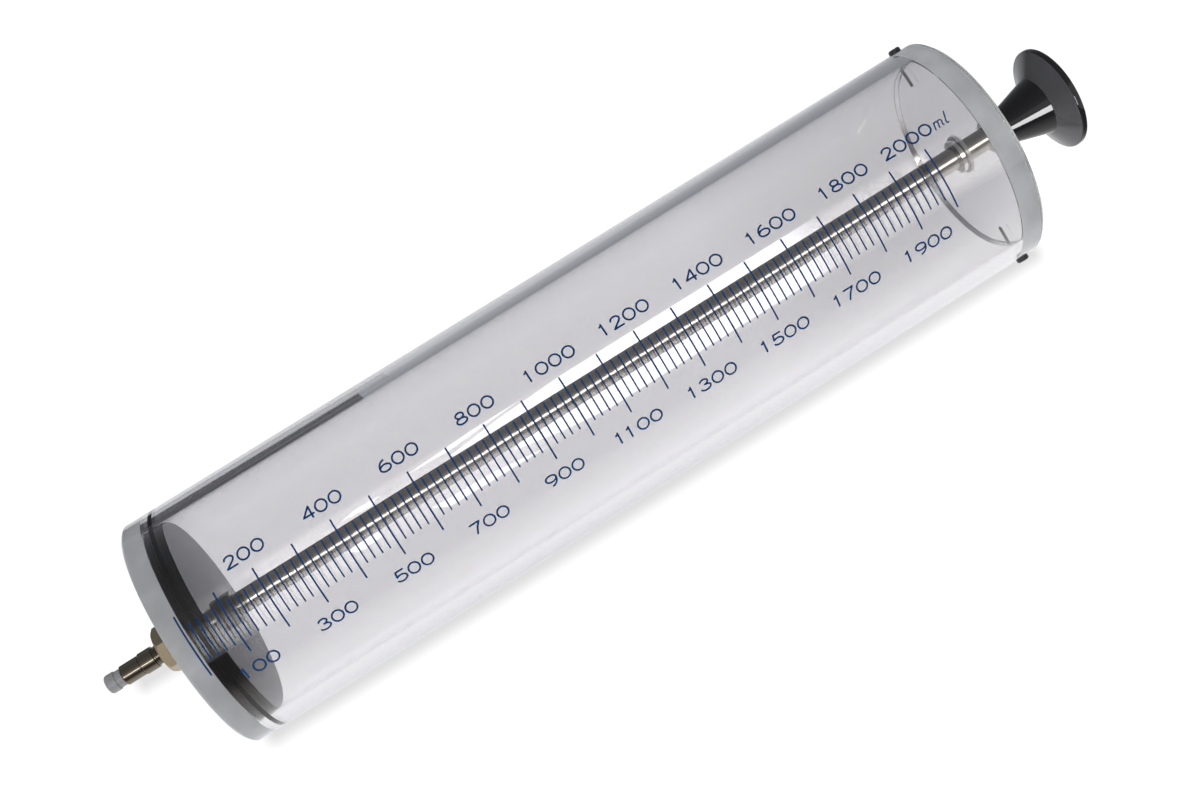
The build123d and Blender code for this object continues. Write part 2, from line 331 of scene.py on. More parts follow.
window_distance = 0.16
window_light, window_edge_light = 2.2, paper_light_near * 1.05
window_full, window_end = 262, 281
WINDOW = {
    "window_upper": [(122, 0), (window_end, 0), (window_end, 11.2), (168, 11.2), (140, 9.4), (118, 6.6)],
    "window_lower": [
        (150, -0.5), (window_end, -0.5), (window_end, -14.0), (176, -14.0), (158, -11.5), (138, -7.0)
    ],
    "window_tongue_1": [(100, 9.6), (118, 8.8), (150, 11.4), (128, 11.4)],
    "window_tongue_2": [(72, 7.2), (84, 6.2), (88, 8.2), (78, 8.6)],
    "window_tongue_3": [(68, -6.2), (80, -3.6), (82, -8.4), (72, -8.8)],
    "window_tongue_4": [(102, -9.5), (128, -10.5), (150, -14.0), (108, -13.4)],
}


def bright_window():
    """White light that fades towards the knob's end."""
    material, tree = new_material("bright_window")
    split = add_node(tree, "ShaderNodeSeparateXYZ", {0: read(tree, "ShaderNodeTexCoord", "Object")})
    end, full = (through(station * MM, 0, window_distance).z for station in (window_end, window_full))
    light = remap(tree, split.outputs["Z"], end, full, window_edge_light, window_light)
    glow = add_node(tree, "ShaderNodeEmission", {"Strength": light})
    clear = add_node(tree, "ShaderNodeBsdfTransparent")
    from_behind = read(tree, "ShaderNodeNewGeometry", "Backfacing")
    bounces = read(tree, "ShaderNodeLightPath", "Glossy Depth")
    hidden = add_node(tree, "ShaderNodeMath", {0: from_behind, 1: bounces}, operation="ADD", use_clamp=True)
    show(tree, either(tree, hidden.outputs[0], glow.outputs[0], clear.outputs[0]))
    return material


window = bright_window()
for name, outline in WINDOW.items():
    corners = [through(station * MM, arc * MM, window_distance) for station, arc in outline]
    card = stage_sheet(name, corners, window)
    if card.data.polygons[0].normal.y > 0:
        card.data.flip_normals()
print("window cards", len(WINDOW))

# %% [markdown]
# Two more studio cards. A dark flag stands far behind on the right and is seen only in the wall
# of the barrel near the nozzle, as the black streak at its upper edge. A shadow card lies just
# behind the syringe: it is seen only directly, and is darkest beside the barrel's lower edge.

# %% Dark flag
flag_distance, flag_shade = 2.0, (0.08, 0.08, 0.09)
FLAG = [(126, 0.36), (145, 0.36), (149, 0.70), (149, 1.5), (120, 1.5)]


def dark_flag():
    """Near black in a reflection and nothing at all when seen directly."""
    material, tree = new_material("dark_flag")
    dark = add_node(tree, "ShaderNodeEmission", {"Color": (*flag_shade, 1)})
    clear = add_node(tree, "ShaderNodeBsdfTransparent")
    bounces = read(tree, "ShaderNodeLightPath", "Glossy Depth")
    show(tree, either(tree, bounces, clear.outputs[0], dark.outputs[0]))
    return material


flag_corners = [
    (flag_distance * sin(radians(turn)), -flag_distance * cos(radians(turn)), z) for turn, z in FLAG
]
stage_sheet("dark_flag", flag_corners, dark_flag())
print("dark flag", flag_distance, "m away")

# %% [markdown]
# The shadow is a distance made visible. For the barrel, the knob and the fitting the tree works
# out how far a point on the card is from a rounded box, keeps the smallest of the three
# distances and turns it into a soft edge.

# %% Soft shadow
shadow_distance, shadow_shift = 0.062, Vector((-5.5 * MM, 0, -3 * MM))
shadow_blur, shadow_dark, shadow_light = 10 * MM, 0.72, paper_light_near
shadow_side, shadow_above, shadow_floor = 0.14, 0.09, 0.001
SHADOWS = {"barrel_tube": 4 * MM, "knob": 14 * MM, "luer_fitting": 3 * MM}


def shadow_box(node):
    """Middle and half size of a CAD node's shadow on the card, as seen from the camera."""
    low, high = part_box(node)
    eye = camera.matrix_world.translation
    share = (shadow_distance - eye.y) / -eye.y
    first, last = (eye.lerp(Vector((corner.x, 0, corner.z)), share) for corner in (low, high))
    return (first + last) / 2 + shadow_shift, (last - first) / 2


def distance_from(tree, place, node, corner_round):
    """How far a place on the card is outside the rounded shadow of a CAD node."""
    middle, half = shadow_box(node)
    core = [max(0, half.x - corner_round), 1, max(0, half.z - corner_round)]
    folded = vectors(tree, "ABSOLUTE", vectors(tree, "SUBTRACT", place, middle))
    outside = vectors(tree, "MAXIMUM", vectors(tree, "SUBTRACT", folded, core))
    return maths(tree, "SUBTRACT", vectors(tree, "LENGTH", outside), corner_round)


def soft_shadow():
    """Paper with the shadow on it, for the camera's own view of the front of the card."""
    material, tree = new_material("soft_shadow")
    place = read(tree, "ShaderNodeTexCoord", "Object")
    gaps = [distance_from(tree, place, node, corner_round) for node, corner_round in SHADOWS.items()]
    nearest = gaps[0]
    for gap in gaps[1:]:
        nearest = maths(tree, "MINIMUM", nearest, gap)
    start, end = -shadow_blur / 2, shadow_blur / 2
    smooth = "SMOOTHSTEP"
    light = remap(tree, nearest, start, end, shadow_dark, shadow_light, interpolation_type=smooth)
    glow = add_node(tree, "ShaderNodeEmission", {"Strength": light})
    clear = add_node(tree, "ShaderNodeBsdfTransparent")
    direct = read(tree, "ShaderNodeLightPath", "Is Camera Ray")
    behind = read(tree, "ShaderNodeNewGeometry", "Backfacing")
    seen = add_node(tree, "ShaderNodeMath", {0: direct, 1: behind}, operation="SUBTRACT", use_clamp=True)
    show(tree, either(tree, seen.outputs[0], clear.outputs[0], glow.outputs[0]))
    return material


shadow_top = barrel_high.z + shadow_above
shadow_outline = [(-shadow_side, shadow_floor), (shadow_side, shadow_floor)]
shadow_outline += [(shadow_side, shadow_top), (-shadow_side, shadow_top)]
shadow_corners = [(x, shadow_distance, z) for x, z in shadow_outline]
stage_sheet("shadow_card", shadow_corners, soft_shadow())
print("shadows of", list(SHADOWS))

# %% [markdown]
# Two big soft lights fill the matt finishes and stay out of every reflection, because the
# panorama already stands for what a mirror sees. Two small lamps do the opposite: each lights
# one piece alone, the knob or the fitting, and is seen in its gloss. Without a limit they would
# show in the gloss of the barrel too, so light linking gives each a list of pieces.

# %% Lights
def softbox(name, place, aim, size, power, colour=(1, 1, 1)):
    """A rectangular soft light at a place, turned to a point, and left out of reflections."""
    data = bpy.data.lights.new(name, "AREA")
    data.shape = "RECTANGLE"
    data.size, data.size_y = size
    data.energy = power
    data.color = colour
    lamp = bpy.data.objects.new(name, data)
    away = Vector(place) - Vector(aim)
    lamp.matrix_world = Matrix.Translation(place) @ away.to_track_quat("Z", "Y").to_matrix().to_4x4()
    lamp.visible_camera = False
    lamp.visible_glossy = False
    lamp.visible_transmission = False
    bpy.context.scene.collection.objects.link(lamp)
    return lamp


def lit_alone(name, node, offset, size, power):
    """A lamp that only chosen pieces see, also in their gloss, and the list of those pieces."""
    low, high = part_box(node)
    aim = (low + high) / 2
    lamp = softbox(name, aim + Vector(offset), aim, size, power)
    lamp.visible_glossy = True
    chosen = bpy.data.collections.new("seen_by_" + name)
    lamp.light_linking.receiver_collection = chosen
    return chosen


barrel_middle = (0, 0, (barrel_low.z + barrel_high.z) / 2)
softbox("key_light", (-0.30, -1.2, 0.45), barrel_middle, (0.6, 1.4), 12, (1.0, 0.98, 0.95))
softbox("side_light", (-1.6, 0.2, 0.5), barrel_middle, (1.6, 1.6), 10)
knob_lit = lit_alone("knob_light", "knob", (-0.42, -0.67, 0.15), (0.28, 0.30), 6.5)
fitting_lit = lit_alone("fitting_light", "luer_fitting", (-0.19, -0.78, 0.20), (0.06, 0.30), 0.55)

# %% [markdown]
# The sky closes the room round the cards with the same paper and panorama, a little cooler and
# dimmer. The Standard view keeps the paper white, where a filmic view would grey it.

# %% Sky
sky_light, sky_colour = 0.8, (0.95, 0.97, 1.0)
world = bpy.data.worlds.new("studio")
world.use_nodes = True
world_tree = world.node_tree
sky = world_tree.nodes["Background"]
sky_direction = read(world_tree, "ShaderNodeTexCoord", "Generated")
sky_shade, sky_strength = paper_or_room(world_tree, sky_direction, sky_light, sky_colour)
world_tree.links.new(sky_shade, sky.inputs["Color"])
world_tree.links.new(sky_strength, sky.inputs["Strength"])
bpy.context.scene.world = world
bpy.context.scene.view_settings.view_transform = "Standard"
print("sky light", sky_light)

# %% [markdown]
# ## Finishes
#
# Each finish is a small node tree. Patterns read Object coordinates, which for these pieces
# are the real metres of the frame, so a grind line or a turning mark keeps its true width.
#
# Acrylic is the finish that matters most here. A Principled shader with full transmission bends
# the light as the real wall does. Lamps would cast a dark shadow into such a tube, so for the
# shadow rays alone it is a plain see-through sheet with a faint tint.

# %% Clear acrylic
acrylic_bending, acrylic_shadow = 1.49, (0.93, 0.94, 0.94)


def clear_plastic(name, tint):
    """Clear acrylic: refracts what is behind it, and lets lamps shine through to what it holds."""
    material, tree = new_material(name)
    glass = add_node(tree, "ShaderNodeBsdfPrincipled", {
        "Base Color": (*tint, 1),
        "Transmission Weight": 1.0,
        "IOR": acrylic_bending,
        "Roughness": 0.0,
    })
    sheet = add_node(tree, "ShaderNodeBsdfTransparent", {"Color": (*acrylic_shadow, 1)})
    shadow_ray = read(tree, "ShaderNodeLightPath", "Is Shadow Ray")
    show(tree, either(tree, shadow_ray, glass.outputs[0], sheet.outputs[0]))
    return material


# The grey of this tint is partly the plastic's own faint colour and partly painted shade: the shadowed paper
# seen through the barrel.
acrylic = clear_plastic("clear_acrylic", (0.72, 0.715, 0.73))
print("finish", acrylic.name)

# %% [markdown]
# Where acrylic was left as turned it is a pale skin that scatters light from both of its sides.
# A diffuse and a translucent shader in nearly equal shares do that, with slow blotches in the
# colour.

# %% Frosted acrylic
blotch_scale, blotch_dark, blotch_stops = 45.0, 0.72, (0.3, 0.7)


def frosted_plastic(name, colour, back_share):
    """Acrylic as it comes from the lathe. The back share is the light that comes through it."""
    material, tree = new_material(name)
    place = read(tree, "ShaderNodeTexCoord", "Object")
    noise = {"Vector": place, "Scale": blotch_scale, "Detail": 5.0}
    blotches = add_node(tree, "ShaderNodeTexNoise", noise).outputs["Fac"]
    tones = ([part * blotch_dark for part in colour], colour)
    skin = shades(tree, blotches, list(zip(blotch_stops, tones, strict=True)))
    front = add_node(tree, "ShaderNodeBsdfDiffuse", {"Color": skin})
    back = add_node(tree, "ShaderNodeBsdfTranslucent", {"Color": skin})
    show(tree, either(tree, back_share, front.outputs[0], back.outputs[0]))
    return material


frosted_acrylic = frosted_plastic("frosted_acrylic", (0.72, 0.735, 0.755), 0.45)
print("finish", frosted_acrylic.name)

# %% [markdown]
# Metal and black plastic on this syringe are all turned on a lathe, and a turned surface has
# fine rings. A ring pattern is a noise along the axis on a shaft, and along the distance from
# the axis on a flat face. The sum of both places feeds one noise and one bump node, and a
# second, slower noise makes the gloss a little uneven.

# %% Turned finishes
gloss_spread, smear_scale = 0.25, 90.0


def turned_finish(name, colour, metallic, roughness, ring_pitch, ring_depth, gloss=0.5):
    """A lathe finish with fine rings, a little uneven in gloss."""
    material, tree = new_material(name)
    place = read(tree, "ShaderNodeTexCoord", "Object")
    split = add_node(tree, "ShaderNodeSeparateXYZ", {0: place})
    flat = add_node(tree, "ShaderNodeCombineXYZ", {"X": split.outputs["X"], "Y": split.outputs["Y"]})
    off_axis = vectors(tree, "LENGTH", flat.outputs[0])
    along = add_node(tree, "ShaderNodeCombineXYZ", {"X": maths(tree, "ADD", off_axis, split.outputs["Z"])})
    ring_noise = {"Vector": along.outputs[0], "Scale": 1 / ring_pitch, "Detail": 3.0}
    rings = add_node(tree, "ShaderNodeTexNoise", ring_noise).outputs["Fac"]
    bump = add_node(tree, "ShaderNodeBump", {"Height": rings, "Strength": 1.0, "Distance": ring_depth})
    smear_noise = {"Vector": place, "Scale": smear_scale, "Detail": 4.0}
    smear = add_node(tree, "ShaderNodeTexNoise", smear_noise).outputs["Fac"]
    low, high = roughness * (1 - gloss_spread), roughness * (1 + gloss_spread)
    shader = add_node(tree, "ShaderNodeBsdfPrincipled", {
        "Base Color": (*colour, 1),
        "Metallic": metallic,
        "Roughness": remap(tree, smear, 0.0, 1.0, low, high),
        "Specular IOR Level": gloss,
        "Normal": bump.outputs[0],
    })
    show(tree, shader.outputs[0])
    return material


stainless = turned_finish("stainless_steel", (0.46, 0.45, 0.43), 1.0, 0.08, 0.4 * MM, 0.0012 * MM)
nut_steel = turned_finish("nut_steel", (0.15, 0.15, 0.145), 1.0, 0.3, 0.3 * MM, 0.0006 * MM)
black_steel = turned_finish("blackened_steel", (0.05, 0.05, 0.055), 0.7, 0.4, 0.3 * MM, 0.006 * MM)
nickel_brass = turned_finish("nickel_on_brass", (0.30, 0.25, 0.17), 1.0, 0.22, 0.3 * MM, 0.004 * MM)
dull_nickel = turned_finish("dull_nickel", (0.17, 0.15, 0.12), 1.0, 0.07, 0.3 * MM, 0.001 * MM)
piston_black = turned_finish("piston_black", (0.008, 0.008, 0.009), 0.0, 0.06, 0.35 * MM, 0.0005 * MM)
piston_edge = turned_finish("piston_edge", (0.004, 0.004, 0.005), 0.0, 0.5, 0.45 * MM, 0.01 * MM, gloss=0.02)
knob_black = turned_finish("knob_black", (0.004, 0.004, 0.005), 0.0, 0.07, 0.5 * MM, 0.0006 * MM, gloss=0.35)
knob_satin = turned_finish("knob_satin", (0.035, 0.035, 0.038), 0.0, 0.22, 0.5 * MM, 0.002 * MM)
print("turned finishes from", stainless.name, "to", knob_satin.name)

# %% [markdown]
# Rubber, moulded plastic and ink have no rings. An even fine grain, in the colour and as a
# bump, keeps them from looking like wax.

# %% Rubber, soft plastic and ink
grain_dark, grain_light = 0.88, 1.1


def plain_finish(name, colour, roughness, grain_scale, grain_depth, gloss=0.5):
    """A moulded or printed finish with a faint even grain."""
    material, tree = new_material(name)
    place = read(tree, "ShaderNodeTexCoord", "Object")
    noise = {"Vector": place, "Scale": grain_scale, "Detail": 4.0}
    grain = add_node(tree, "ShaderNodeTexNoise", noise).outputs["Fac"]
    tones = [(0, [part * grain_dark for part in colour]), (1, [part * grain_light for part in colour])]
    shader = add_node(tree, "ShaderNodeBsdfPrincipled", {
        "Base Color": shades(tree, grain, tones),
        "Roughness": roughness,
        "Specular IOR Level": gloss,
        "Normal": add_node(tree, "ShaderNodeBump", {"Height": grain, "Distance": grain_depth}).outputs[0],
    })
    show(tree, shader.outputs[0])
    return material


rubber = plain_finish("black_rubber", (0.006, 0.006, 0.007), 0.5, 600, 0.004 * MM, gloss=0.05)
bearing_plastic = plain_finish("white_bearing_plastic", (0.42, 0.42, 0.42), 0.6, 500, 0.004 * MM, gloss=0.05)
cap_plastic = plain_finish("cap_plastic", (0.17, 0.172, 0.178), 0.4, 300, 0.003 * MM)
blue_ink = plain_finish("blue_ink", (0.0005, 0.022, 0.085), 0.5, 900, 0.002 * MM, gloss=0.1)
print("plain finishes", [finish.name for finish in (rubber, bearing_plastic, cap_plastic, blue_ink)])

# %% [markdown]
# ## Turning a piece
#
# Nearly every piece was made on a lathe, so one function turns them all. A profile is a list
# of corners, each a radius, a height and, where the real corner is broken, the radius of its
# rounding. The roundings are worked out as arcs, and the profile is then spun into rings. A
# cylinder with a Bevel modifier would do for a plain disc, but a profile also takes grooves,
# cones and holes, and each of its roundings has a size of its own.

# %% Rounded profiles
arc_steps = 6


def rounded(corners, closed):
    """The profile's points, with an arc in place of each corner that has a rounding."""
    points = []
    count = len(corners)
    for i, corner in enumerate(corners):
        here = Vector(corner[:2])
        rounding = corner[2] if len(corner) > 2 else 0
        if rounding == 0 or (not closed and i in (0, count - 1)):
            points.append(here)
            continue
        before = (Vector(corners[i - 1][:2]) - here).normalized()
        after = (Vector(corners[(i + 1) % count][:2]) - here).normalized()
        half = acos(max(-1, min(1, before.dot(after)))) / 2
        centre = here + (before + after).normalized() * (rounding / sin(half))
        start = here + before * (rounding / tan(half)) - centre
        end = here + after * (rounding / tan(half)) - centre
        for k in range(arc_steps + 1):
            swing = start.lerp(end, k / arc_steps).normalized() * rounding
            points.append(centre + swing)
    return points


print("points on an arc", arc_steps + 1)

# %% The lathe
on_axis, crisp_angle = 1e-9, radians(28)


def shown(name, mesh):
    """Smooth shading with crisp corners, and an object at the origin."""
    mesh.polygons.foreach_set("use_smooth", [True] * len(mesh.polygons))
    mesh.set_sharp_from_angle(angle=crisp_angle)
    piece = bpy.data.objects.new(name, mesh)
    bpy.context.scene.collection.objects.link(piece)
    return piece


def turned(name, corners, closed=False, segments=128):
    """A piece spun from its profile. An open profile starts and ends on the axis."""
    angles = [2 * pi * k / segments for k in range(segments)]
    work = bmesh.new()
    rings = []
    for radius, z in rounded(corners, closed):
        if radius < on_axis:
            rings.append([work.verts.new((0, 0, z))])
        else:
            rings.append([work.verts.new((radius * cos(a), radius * sin(a), z)) for a in angles])
    for lower, upper in zip(rings, rings[1:] + (rings[:1] if closed else []), strict=False):
        for k in range(segments):
            after = (k + 1) % segments
            loop = [lower[k % len(lower)], lower[after % len(lower)]]
            loop += [upper[after % len(upper)], upper[k % len(upper)]]
            loop = list(dict.fromkeys(loop))
            if len(loop) > 2:
                work.faces.new(loop)
    bmesh.ops.recalc_face_normals(work, faces=work.faces)
    mesh = bpy.data.meshes.new(name)
    work.to_mesh(mesh)
    work.free()
    return shown(name, mesh)


def dress(piece, material, body, slot, *replaced):
    """The finish of a piece, the body that carries it and the CAD nodes that it stands for."""
    piece.data.materials.clear()
    piece.data.materials.append(material)
    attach(piece, body)
    if replaced:
        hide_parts(*replaced)
    print(piece.name, len(piece.data.polygons), "faces on", body)


def second_finish(piece, material, chosen):
    """Another finish on the faces of a piece that pass a test."""
    piece.data.materials.append(material)
    for face in piece.data.polygons:
        if chosen(face):
            face.material_index = 1


def off_axis(face):
    """How far the middle of a face is from the axis of the barrel."""
    return Vector(face.center[:2]).length


print("lathe ready, corners stay crisp from", round(crisp_angle, 3), "radians")

# %% [markdown]
# ## The barrel
#
# The tube is a length of cast acrylic, faced and bevelled at both ends. Where the end plugs sit,
# its bore is roughened and bonded to them. Seen through the wall, that frosted seat fills the
# whole width of the barrel, because a thick clear wall magnifies what touches its inside. The
# tube is turned thinner by a film of ink, so that the printing lies at the measured radius.

# %% Barrel tube
ink_film, seat_film = 0.03 * MM, 0.01 * MM
bevel, edge_round, bore_round = 1.2 * MM, 0.25 * MM, 0.15 * MM
tube_radius = barrel_radius - ink_film
front_seat, rear_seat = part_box("front_end_plug")[0].z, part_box("rear_end_plug")[1].z
tube_profile = [
    (bore_radius, front_seat),
    (bore_radius, rear_seat),
    (bore_radius, barrel_low.z, bore_round),
    (tube_radius - bevel, barrel_low.z, edge_round),
    (tube_radius, barrel_low.z + bevel, edge_round),
    (tube_radius, barrel_high.z - bevel, edge_round),
    (tube_radius - bevel, barrel_high.z, edge_round),
    (bore_radius, barrel_high.z, bore_round),
]


def on_seat(face):
    """Whether a face of the tube is on its bore and beside one of the plugs."""
    return off_axis(face) < bore_radius + seat_film and not rear_seat < face.center.z < front_seat


tube = turned("tube", tube_profile, closed=True, segments=256)
dress(tube, acrylic, "barrel", "clear_acrylic", "barrel_tube")
second_finish(tube, frosted_acrylic, on_seat)

# %% [markdown]
# The end plugs are discs of the same plastic, each a little smaller than the bore. Here the rim
# of the front plug is frosted like the seat round it, and the rear plug has a clear rim inside
# its frosted seat. Both come from one profile, and only the hole in the middle differs.

# %% End plugs
plug_radius = bore_radius - 0.05 * MM
plug_bevel = 0.5 * MM
steep = 0.9


def plug_profile(low, high, *bore):
    """A bevelled disc from a lower to an upper height, and the corners of the hole in it."""
    return [
        bore[0],
        (plug_radius - plug_bevel, low),
        (plug_radius, low + plug_bevel),
        (plug_radius, high - plug_bevel),
        (plug_radius - plug_bevel, high),
        *bore[1:],
    ]


def on_rim(face):
    """Whether a face of a plug is at its rim and looks away from the axis."""
    return off_axis(face) > plug_radius - plug_bevel and abs(face.normal.z) < steep


front_low, front_high = span("front_end_plug")
shank_radius, shank_depth, passage = 5.05 * MM, 6.0 * MM, 1.5 * MM
front_profile = plug_profile(
    front_low,
    front_high,
    (passage, front_low),
    (shank_radius, front_high),
    (shank_radius, front_high - shank_depth),
    (passage, front_high - shank_depth),
)
front_plug = turned("front_plug", front_profile, closed=True, segments=256)
dress(front_plug, acrylic, "barrel", "clear_acrylic", "front_end_plug")
second_finish(front_plug, frosted_acrylic, on_rim)

rear_low, rear_high = span("rear_end_plug")
rod_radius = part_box("plunger_rod")[1].x
rod_hole, gland_radius, gland_lip = rod_radius + 0.06 * MM, rod_radius + 2.51 * MM, 1.5 * MM
rear_profile = plug_profile(
    rear_low,
    rear_high,
    (gland_radius, rear_low),
    (rod_hole, rear_high),
    (rod_hole, rear_high - gland_lip),
    (gland_radius, rear_high - gland_lip),
)
rear_plug = turned("rear_plug", rear_profile, closed=True, segments=256)
dress(rear_plug, acrylic, "barrel", "clear_acrylic", "rear_end_plug")

# %% [markdown]
# ## The piston
#
# A black disc with a groove for its sealing ring. The ring is pressed flat against the bore, and
# that black contact line is what the wall of the barrel spreads to both of its edges. The faces
# of the disc are glossy and its edge is dull. A plain torus would only touch the wall along a
# line without width, so the ring's profile leaves out the points nearest the wall and has two
# corners there instead, a very little inside the wall, with a flat between them.

# %% Piston
piston_low, piston_high = span("piston")
piston_radius = bore_radius - 0.6 * MM
ring_section = 3.5 * MM
ring_centre = bore_radius - 0.06 * MM - ring_section / 2
ring_height = (piston_low + piston_high) / 2
groove_half = ring_section / 2 + 0.3 * MM
groove_floor = ring_centre - groove_half
face_round, groove_round = 0.4 * MM, 0.1 * MM
piston_profile = [
    (0, piston_low),
    (piston_radius, piston_low, face_round),
    (piston_radius, ring_height - groove_half, groove_round),
    (groove_floor, ring_height - groove_half),
    (groove_floor, ring_height + groove_half),
    (piston_radius, ring_height + groove_half, groove_round),
    (piston_radius, piston_high, face_round),
    (0, piston_high),
]
piston = turned("piston_disc", piston_profile, segments=256)
dress(piston, piston_black, "plunger", "black_plastic", "piston")
second_finish(piston, piston_edge, lambda face: abs(face.normal.z) < steep)

# %% Sealing ring
ring_sides, pressed, flat_half = 24, bore_radius + 0.02 * MM, 0.9 * MM
ring_turns = [2 * pi * k / ring_sides for k in range(3, ring_sides - 2)]
ring_profile = [
    (ring_centre + ring_section / 2 * cos(a), ring_height + ring_section / 2 * sin(a)) for a in ring_turns
]
ring_profile += [(pressed, ring_height - flat_half), (pressed, ring_height + flat_half)]
ring = turned("sealing_ring", ring_profile, closed=True, segments=256)
dress(ring, rubber, "seal_ring", "black_rubber", "piston_ring")

# %% [markdown]
# ## Rod and knob
#
# The rod is ground bar, turned down at its end for the piston's thread. The knob is one turning
# too: a flat button, a long cone for the fingers and a short collar that grips the rod. The
# sloping back of the button is satin, where the rest of the knob is polished.

# %% Rod
rod_low, rod_high = span("plunger_rod")
thread_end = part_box("rod_nut")[0].z - 0.05 * MM
rod_thread, rod_round, step_round = 4.0 * MM, 0.4 * MM, 0.1 * MM
rod_profile = [
    (0, rod_low),
    (rod_radius, rod_low, rod_round),
    (rod_radius, thread_end, step_round),
    (rod_thread, thread_end),
    (rod_thread, rod_high, rod_round),
    (0, rod_high),
]
rod = turned("rod", rod_profile, segments=96)
dress(rod, stainless, "plunger", "stainless_steel", "plunger_rod")

# %% Knob
knob_low, knob_high = span("knob")
knob_radius, knob_rim, knob_rise = 22.8 * MM, 2.7 * MM, 5.3 * MM
neck_radius, neck_length, collar_radius = 12.9 * MM, 20.5 * MM, 6.9 * MM
socket_radius, socket_depth = rod_radius + 0.05 * MM, 2 * MM
button_round, neck_round, waist_round, collar_round = 0.9 * MM, 0.6 * MM, 0.8 * MM, 0.3 * MM
upward = 0.6
rim_top = knob_low + knob_rim
neck_low = rim_top + knob_rise
neck_high = neck_low + neck_length
knob_profile = [
    (0, knob_low),
    (knob_radius, knob_low, button_round),
    (knob_radius, rim_top, button_round),
    (neck_radius, neck_low, neck_round),
    (collar_radius, neck_high, waist_round),
    (collar_radius, knob_high, collar_round),
    (socket_radius, knob_high),
    (socket_radius, knob_high - socket_depth),
    (0, knob_high - socket_depth),
]
knob = turned("pull_knob", knob_profile, segments=192)
dress(knob, knob_black, "plunger", "black_plastic", "knob")
second_finish(knob, knob_satin, lambda face: face.normal.z > upward and off_axis(face) > neck_radius)
knob_lit.objects.link(knob)

# %% [markdown]
# ## Gas fitting
#
# A small turned fitting screws into the hexagonal adapter. Three narrow grooves run round its
# neck, a plain collar follows, and its tip takes the soft cap. The cap is a moulded plug whose
# shank fills the mouth of the fitting.

# %% Fitting
fitting_high, adapter_high = span("luer_fitting")[1], span("hex_adapter")[1]
thread_radius, body_radius, tip_radius, mouth_radius = 4.0 * MM, 4.65 * MM, 4.25 * MM, 2.2 * MM
neck_span, body_span, tip_gap, mouth_depth = 3.4 * MM, 5.8 * MM, 0.4 * MM, 1 * MM
groove_width, groove_depth, groove_count = 0.5 * MM, 0.55 * MM, 3
groove_edge, body_edge, tip_edge = 0.08 * MM, 0.25 * MM, 0.6 * MM
neck_top = adapter_high + neck_span
body_top = neck_top + body_span
tip_low = body_top + tip_gap
fitting_profile = [(0, adapter_high - mouth_depth), (thread_radius, adapter_high - mouth_depth)]
for number in range(groove_count):
    groove_middle = adapter_high + neck_span * (number + 1) / (groove_count + 1)
    groove_low, groove_high = groove_middle - groove_width / 2, groove_middle + groove_width / 2
    fitting_profile += [
        (thread_radius, groove_low, groove_edge),
        (thread_radius - groove_depth, groove_low, groove_edge),
        (thread_radius - groove_depth, groove_high, groove_edge),
        (thread_radius, groove_high, groove_edge),
    ]
fitting_profile += [
    (thread_radius, neck_top),
    (body_radius, neck_top, body_edge),
    (body_radius, body_top, body_edge),
    (thread_radius, body_top),
    (thread_radius, tip_low),
    (tip_radius, tip_low, body_edge),
    (tip_radius, fitting_high, tip_edge),
    (mouth_radius, fitting_high),
    (mouth_radius, fitting_high - mouth_depth),
    (0, fitting_high - mouth_depth),
]
fitting = turned("gas_fitting", fitting_profile, segments=96)
dress(fitting, dull_nickel, "barrel", "nickel_brass", "luer_fitting")
fitting_lit.objects.link(fitting)

# %% Cap
cap_low, cap_high = span("tip_cap")
cap_point, cap_shank, cap_neck, cap_head = 1.9 * MM, 2.12 * MM, 3.6 * MM, 4.0 * MM
cap_edge, cap_shoulder, cap_dome = 0.2 * MM, 0.5 * MM, 1.3 * MM
head_low = fitting_high + 2.7 * MM
cap_profile = [
    (0, cap_low),
    (cap_point, cap_low, cap_edge),
    (cap_shank, fitting_high),
    (cap_neck, fitting_high, cap_edge),
    (cap_neck, head_low),
    (cap_head, head_low, cap_shoulder),
    (cap_head, cap_high, cap_dome),
    (0, cap_high),
]
cap = turned("soft_cap", cap_profile, segments=96)
dress(cap, cap_plastic, "cap", "cap_plastic", "tip_cap")

# %% [markdown]
# ## The printed scale
#
# The scale reads from the nozzle towards the knob. A short mark stands for 20 ml and a long
# one for 100 ml. The bore's area fixes the pitch: two litres of gas fill the stroke. The marks
# are made by a small node tree, which lays one strip of each length round the barrel and
# repeats it along a line, and its inputs set the number of marks and the pitch.

# %% A strip round the barrel
def wrapped_strip(tree, radius, length, centre, width):
    """A strip of the given arc length and width, wrapped round a barrel of the given radius."""
    size = {"Size X": length, "Size Y": width, "Vertices X": round(length / MM) + 1, "Vertices Y": 2}
    grid = add_node(tree, "GeometryNodeMeshGrid", size)
    flat = add_node(tree, "ShaderNodeSeparateXYZ", {0: read(tree, "GeometryNodeInputPosition", 0)})
    angle = maths(tree, "DIVIDE", maths(tree, "ADD", flat.outputs["X"], centre), radius)
    across = maths(tree, "MULTIPLY", maths(tree, "SINE", angle), radius)
    ahead = maths(tree, "MULTIPLY", maths(tree, "COSINE", angle), radius)
    bent = {"X": across, "Y": maths(tree, "MULTIPLY", ahead, -1.0), "Z": flat.outputs["Y"]}
    place = add_node(tree, "ShaderNodeCombineXYZ", bent).outputs[0]
    strip = {"Geometry": grid.outputs["Mesh"], "Position": place}
    return add_node(tree, "GeometryNodeSetPosition", strip).outputs["Geometry"]


mark_centre = -4.2 * MM
long_mark, long_width = 26.0 * MM, 0.68 * MM
short_mark, short_width = 16.2 * MM, 0.6 * MM
print("long mark", long_mark, "short mark", short_mark)

